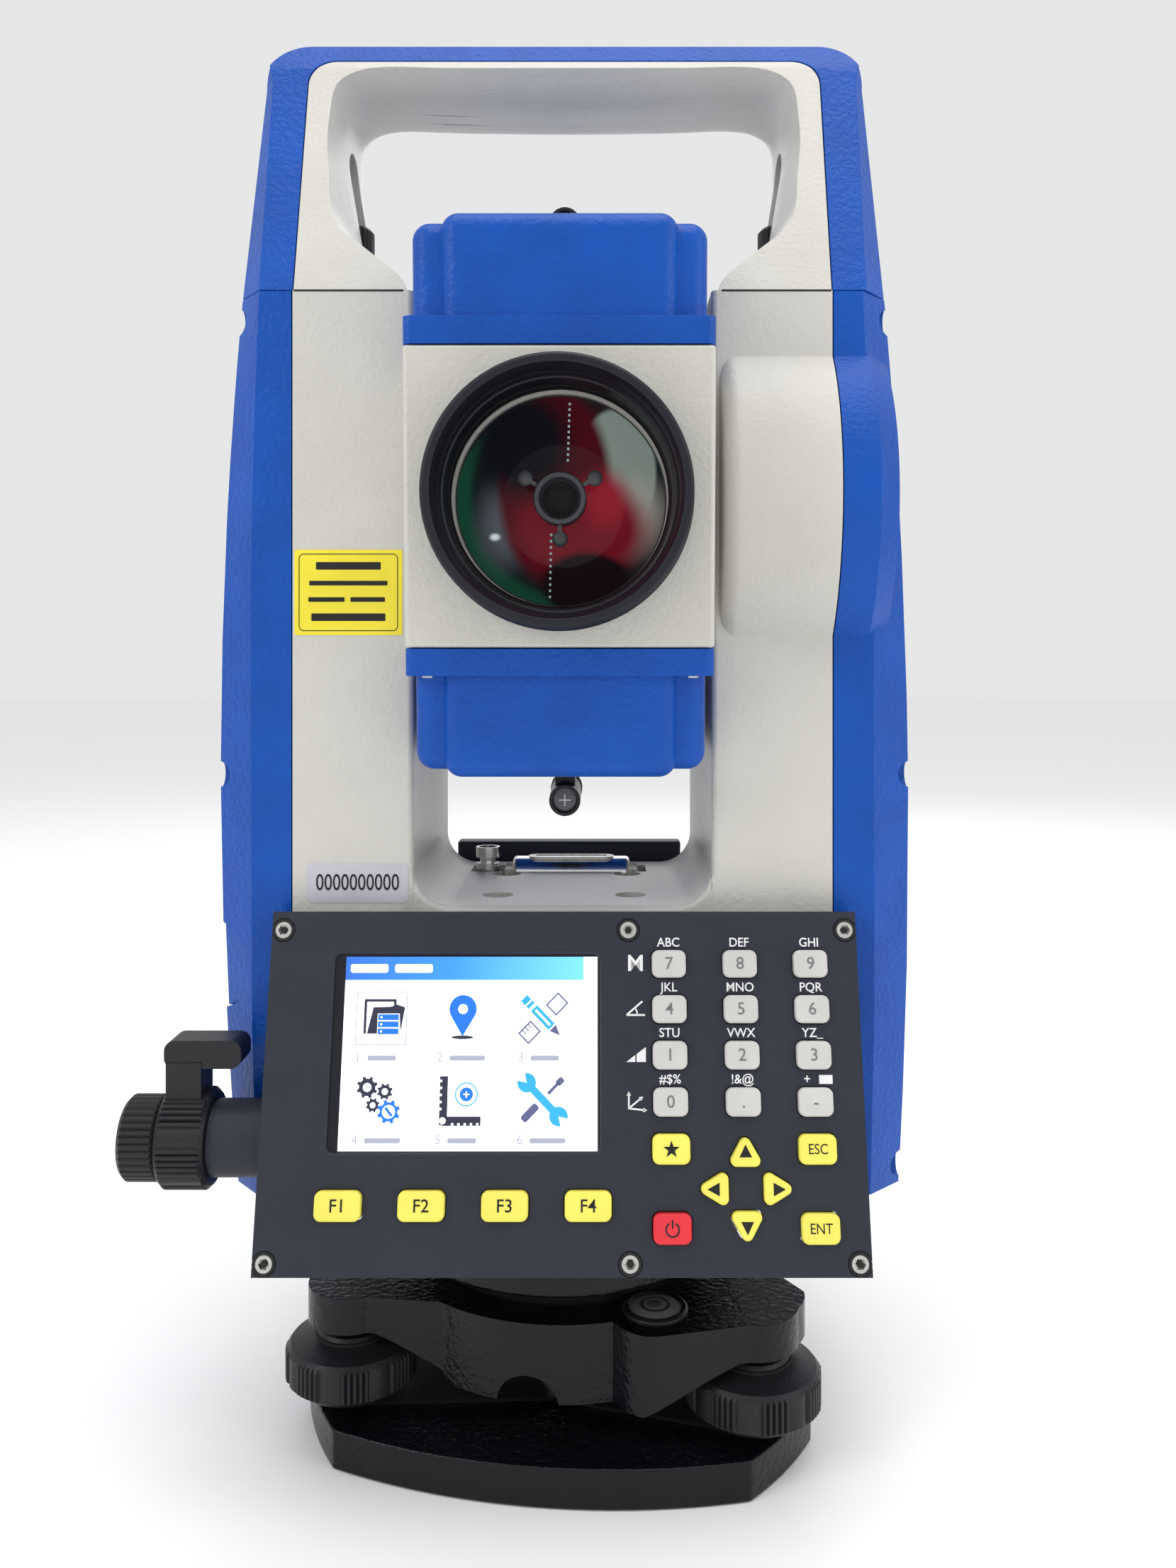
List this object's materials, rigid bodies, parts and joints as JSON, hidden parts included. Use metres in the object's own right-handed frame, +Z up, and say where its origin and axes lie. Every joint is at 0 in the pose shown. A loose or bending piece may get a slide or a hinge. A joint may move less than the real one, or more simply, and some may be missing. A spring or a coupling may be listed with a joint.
{
  "type": "surveying total station",
  "caption": "Surveying total station: U-shaped alidade with tilting telescope, keypad panels, carrying handle and levelling tribrach.",
  "frame": {"origin": "centre of the tripod thread at the underside of the base plate", "axes": "+Z up along the vertical axis, -Y towards the side that the objective faces, +X to the right seen from there"},
  "size_m": [0.1838, 0.1703, 0.3472],
  "materials": {
    "ivory_paint": "semi-gloss ivory structure paint on aluminium casting",
    "blue_paint": "semi-gloss blue structure paint",
    "panel_anthracite": "fine-grained anthracite",
    "black_casting": "glossy black wrinkle paint",
    "black_knob": "satin black, ribbed",
    "black_anodised": "black anodised",
    "bright_steel": "bright zinc or stainless",
    "level_chrome": "nickel-plated brass",
    "screen": "lit colour screen behind clear cover",
    "key_white": "silicone, satin",
    "key_yellow": "silicone, satin",
    "key_red": "silicone, satin",
    "lens_glass": "coated optical glass"
  },
  "bodies": {
    "base": {"base_plate": "black_casting"},
    "rear_ball": {"footscrew_ball": "bright_steel"},
    "tribrach": {"tribrach_body": "black_casting", "circular_level": "black_anodised"},
    "footscrew_left": {"footscrew_left": "black_knob"},
    "footscrew_right": {"footscrew_right": "black_knob"},
    "footscrew_rear": {"footscrew_rear": "black_knob"},
    "lock_knob": {"tribrach_lock_knob": "black_knob"},
    "flange": {"centring_flange": "black_anodised"},
    "alidade": {"alidade_base": "black_casting", "yoke": "ivory_paint", "plate_level": "level_chrome", "side_cover_right": "blue_paint", "side_cover_left": "blue_paint", "front_panel": "panel_anthracite", "rear_panel": "panel_anthracite", "displays": "screen", "rear_keys": "key_white", "case_screws": "bright_steel"},
    "battery": {"battery": "blue_paint"},
    "battery_latch": {"battery_latch": "blue_paint"},
    "horizontal_clamp": {"horizontal_clamp_ring": "black_knob"},
    "horizontal_tangent": {"horizontal_tangent_knob": "black_knob"},
    "vertical_clamp": {"vertical_clamp_ring": "black_knob"},
    "vertical_tangent": {"vertical_tangent_knob": "black_knob"},
    "handle": {"handle": "ivory_paint", "handle_trim": "blue_paint"},
    "handle_screw_left": {"handle_screw_left": "black_knob"},
    "handle_screw_right": {"handle_screw_right": "black_knob"},
    "telescope": {"telescope_body": "ivory_paint", "telescope_covers": "blue_paint", "objective_hood": "black_anodised", "objective_lens": "lens_glass", "sights": "black_anodised"},
    "focus_ring": {"focus_ring": "black_knob"},
    "eyepiece": {"eyepiece": "black_knob"},
    "key_f1": {"key_f1": "key_yellow"},
    "key_f2": {"key_f2": "key_yellow"},
    "key_f3": {"key_f3": "key_yellow"},
    "key_f4": {"key_f4": "key_yellow"},
    "key_7": {"key_7": "key_white"},
    "key_8": {"key_8": "key_white"},
    "key_9": {"key_9": "key_white"},
    "key_4": {"key_4": "key_white"},
    "key_5": {"key_5": "key_white"},
    "key_6": {"key_6": "key_white"},
    "key_1": {"key_1": "key_white"},
    "key_2": {"key_2": "key_white"},
    "key_3": {"key_3": "key_white"},
    "key_0": {"key_0": "key_white"},
    "key_dot": {"key_dot": "key_white"},
    "key_minus": {"key_minus": "key_white"},
    "key_star": {"key_star": "key_yellow"},
    "key_escape": {"key_escape": "key_yellow"},
    "key_power": {"key_power": "key_red"},
    "key_enter": {"key_enter": "key_yellow"},
    "key_up": {"key_up": "key_yellow"},
    "key_left": {"key_left": "key_yellow"},
    "key_down": {"key_down": "key_yellow"},
    "key_right": {"key_right": "key_yellow"}
  },
  "joints": [
    {"name": "level_left", "type": "hinge", "parent": "base", "child": "rear_ball", "pos_m": [0.00695, 0.05658, 0.0056], "axis": [0.3907, -0.9205, 0], "range_deg": [-1.2, 1.2]},
    {"name": "level_right", "type": "hinge", "parent": "rear_ball", "child": "tribrach", "pos_m": [0.00695, 0.05658, 0.0056], "axis": [-0.6018, -0.7986, 0], "range_deg": [-1.2, 1.2]},
    {"name": "footscrew_left_turn", "type": "hinge", "parent": "base", "child": "footscrew_left", "pos_m": [-0.05247, -0.02227, 0.0056], "axis": [0, 0, 1], "range_deg": [-900, 900]},
    {"name": "footscrew_right_turn", "type": "hinge", "parent": "base", "child": "footscrew_right", "pos_m": [0.04552, -0.0343, 0.0056], "axis": [0, 0, 1], "range_deg": [-900, 900]},
    {"name": "footscrew_rear_turn", "type": "hinge", "parent": "tribrach", "child": "footscrew_rear", "pos_m": [0.00695, 0.05658, 0.0056], "axis": [0, 0, 1], "range_deg": [-900, 900]},
    {"name": "lock_turn", "type": "hinge", "parent": "tribrach", "child": "lock_knob", "pos_m": [-0.03594, 0.02708, 0.0274], "axis": [-0.7986, 0.6018, 0], "range_deg": [0, 120]},
    {"name": "instrument_lift", "type": "slide", "parent": "tribrach", "child": "flange", "axis": [0, 0, 1], "range_m": [0, 0.02]},
    {"name": "alidade_turn", "type": "hinge", "parent": "flange", "child": "alidade", "pos_m": [0, 0, 0.05], "axis": [0, 0, 1], "continuous": true},
    {"name": "battery_slide", "type": "slide", "parent": "alidade", "child": "battery", "axis": [-1, 0, 0], "range_m": [0, 0.042]},
    {"name": "battery_latch_press", "type": "slide", "parent": "battery", "child": "battery_latch", "axis": [1, 0, 0], "range_m": [0, 0.0015], "stiffness_N_per_m": 800},
    {"name": "horizontal_clamp_turn", "type": "hinge", "parent": "alidade", "child": "horizontal_clamp", "pos_m": [-0.09, -0.0453, 0.0807], "axis": [1, 0, 0], "range_deg": [-8, 75]},
    {"name": "horizontal_tangent_turn", "type": "hinge", "parent": "alidade", "child": "horizontal_tangent", "pos_m": [-0.1, -0.0453, 0.0807], "axis": [-1, 0, 0], "range_deg": [-1440, 1440]},
    {"name": "vertical_clamp_turn", "type": "hinge", "parent": "alidade", "child": "vertical_clamp", "pos_m": [-0.05, 0.05, 0.176], "axis": [0, 1, 0], "range_deg": [-50, 25]},
    {"name": "vertical_tangent_turn", "type": "hinge", "parent": "alidade", "child": "vertical_tangent", "pos_m": [-0.05, 0.06, 0.176], "axis": [0, 1, 0], "range_deg": [-1440, 1440]},
    {"name": "handle_lift", "type": "slide", "parent": "alidade", "child": "handle", "axis": [0, 0, 1], "range_m": [0, 0.03]},
    {"name": "handle_screw_left_turn", "type": "hinge", "parent": "handle", "child": "handle_screw_left", "pos_m": [-0.057, 0, 0.298], "axis": [0, 0, 1], "range_deg": [0, 1800]},
    {"name": "handle_screw_right_turn", "type": "hinge", "parent": "handle", "child": "handle_screw_right", "pos_m": [0.057, 0, 0.298], "axis": [0, 0, 1], "range_deg": [0, 1800]},
    {"name": "telescope_turn", "type": "hinge", "parent": "alidade", "child": "telescope", "pos_m": [0, 0, 0.2297], "axis": [1, 0, 0], "continuous": true},
    {"name": "focus_turn", "type": "hinge", "parent": "telescope", "child": "focus_ring", "pos_m": [0, 0, 0.2297], "axis": [0, -0.9981, -0.061], "range_deg": [-160, 160]},
    {"name": "eyepiece_turn", "type": "hinge", "parent": "telescope", "child": "eyepiece", "pos_m": [0, 0, 0.2297], "axis": [0, -0.9981, -0.061], "range_deg": [-120, 120]},
    {"name": "key_f1_press", "type": "slide", "parent": "alidade", "child": "key_f1", "axis": [0, 0.9686, -0.2487], "range_m": [0, 0.0009], "stiffness_N_per_m": 1500},
    {"name": "key_f2_press", "type": "slide", "parent": "alidade", "child": "key_f2", "axis": [0, 0.9686, -0.2487], "range_m": [0, 0.0009], "stiffness_N_per_m": 1500},
    {"name": "key_f3_press", "type": "slide", "parent": "alidade", "child": "key_f3", "axis": [0, 0.9686, -0.2487], "range_m": [0, 0.0009], "stiffness_N_per_m": 1500},
    {"name": "key_f4_press", "type": "slide", "parent": "alidade", "child": "key_f4", "axis": [0, 0.9686, -0.2487], "range_m": [0, 0.0009], "stiffness_N_per_m": 1500},
    {"name": "key_7_press", "type": "slide", "parent": "alidade", "child": "key_7", "axis": [0, 0.9686, -0.2487], "range_m": [0, 0.0009], "stiffness_N_per_m": 1500},
    {"name": "key_8_press", "type": "slide", "parent": "alidade", "child": "key_8", "axis": [0, 0.9686, -0.2487], "range_m": [0, 0.0009], "stiffness_N_per_m": 1500},
    {"name": "key_9_press", "type": "slide", "parent": "alidade", "child": "key_9", "axis": [0, 0.9686, -0.2487], "range_m": [0, 0.0009], "stiffness_N_per_m": 1500},
    {"name": "key_4_press", "type": "slide", "parent": "alidade", "child": "key_4", "axis": [0, 0.9686, -0.2487], "range_m": [0, 0.0009], "stiffness_N_per_m": 1500},
    {"name": "key_5_press", "type": "slide", "parent": "alidade", "child": "key_5", "axis": [0, 0.9686, -0.2487], "range_m": [0, 0.0009], "stiffness_N_per_m": 1500},
    {"name": "key_6_press", "type": "slide", "parent": "alidade", "child": "key_6", "axis": [0, 0.9686, -0.2487], "range_m": [0, 0.0009], "stiffness_N_per_m": 1500},
    {"name": "key_1_press", "type": "slide", "parent": "alidade", "child": "key_1", "axis": [0, 0.9686, -0.2487], "range_m": [0, 0.0009], "stiffness_N_per_m": 1500},
    {"name": "key_2_press", "type": "slide", "parent": "alidade", "child": "key_2", "axis": [0, 0.9686, -0.2487], "range_m": [0, 0.0009], "stiffness_N_per_m": 1500},
    {"name": "key_3_press", "type": "slide", "parent": "alidade", "child": "key_3", "axis": [0, 0.9686, -0.2487], "range_m": [0, 0.0009], "stiffness_N_per_m": 1500},
    {"name": "key_0_press", "type": "slide", "parent": "alidade", "child": "key_0", "axis": [0, 0.9686, -0.2487], "range_m": [0, 0.0009], "stiffness_N_per_m": 1500},
    {"name": "key_dot_press", "type": "slide", "parent": "alidade", "child": "key_dot", "axis": [0, 0.9686, -0.2487], "range_m": [0, 0.0009], "stiffness_N_per_m": 1500},
    {"name": "key_minus_press", "type": "slide", "parent": "alidade", "child": "key_minus", "axis": [0, 0.9686, -0.2487], "range_m": [0, 0.0009], "stiffness_N_per_m": 1500},
    {"name": "key_star_press", "type": "slide", "parent": "alidade", "child": "key_star", "axis": [0, 0.9686, -0.2487], "range_m": [0, 0.0009], "stiffness_N_per_m": 1500},
    {"name": "key_escape_press", "type": "slide", "parent": "alidade", "child": "key_escape", "axis": [0, 0.9686, -0.2487], "range_m": [0, 0.0009], "stiffness_N_per_m": 1500},
    {"name": "key_power_press", "type": "slide", "parent": "alidade", "child": "key_power", "axis": [0, 0.9686, -0.2487], "range_m": [0, 0.0009], "stiffness_N_per_m": 1500},
    {"name": "key_enter_press", "type": "slide", "parent": "alidade", "child": "key_enter", "axis": [0, 0.9686, -0.2487], "range_m": [0, 0.0009], "stiffness_N_per_m": 1500},
    {"name": "key_up_press", "type": "slide", "parent": "alidade", "child": "key_up", "axis": [0, 0.9686, -0.2487], "range_m": [0, 0.0009], "stiffness_N_per_m": 1500},
    {"name": "key_left_press", "type": "slide", "parent": "alidade", "child": "key_left", "axis": [0, 0.9686, -0.2487], "range_m": [0, 0.0009], "stiffness_N_per_m": 1500},
    {"name": "key_down_press", "type": "slide", "parent": "alidade", "child": "key_down", "axis": [0, 0.9686, -0.2487], "range_m": [0, 0.0009], "stiffness_N_per_m": 1500},
    {"name": "key_right_press", "type": "slide", "parent": "alidade", "child": "key_right", "axis": [0, 0.9686, -0.2487], "range_m": [0, 0.0009], "stiffness_N_per_m": 1500}
  ],
  "couplings": [
    {"joint": "footscrew_left_turn", "follows": "level_left", "ratio": 716.28},
    {"joint": "footscrew_right_turn", "follows": "level_right", "ratio": -716.28}
  ]
}
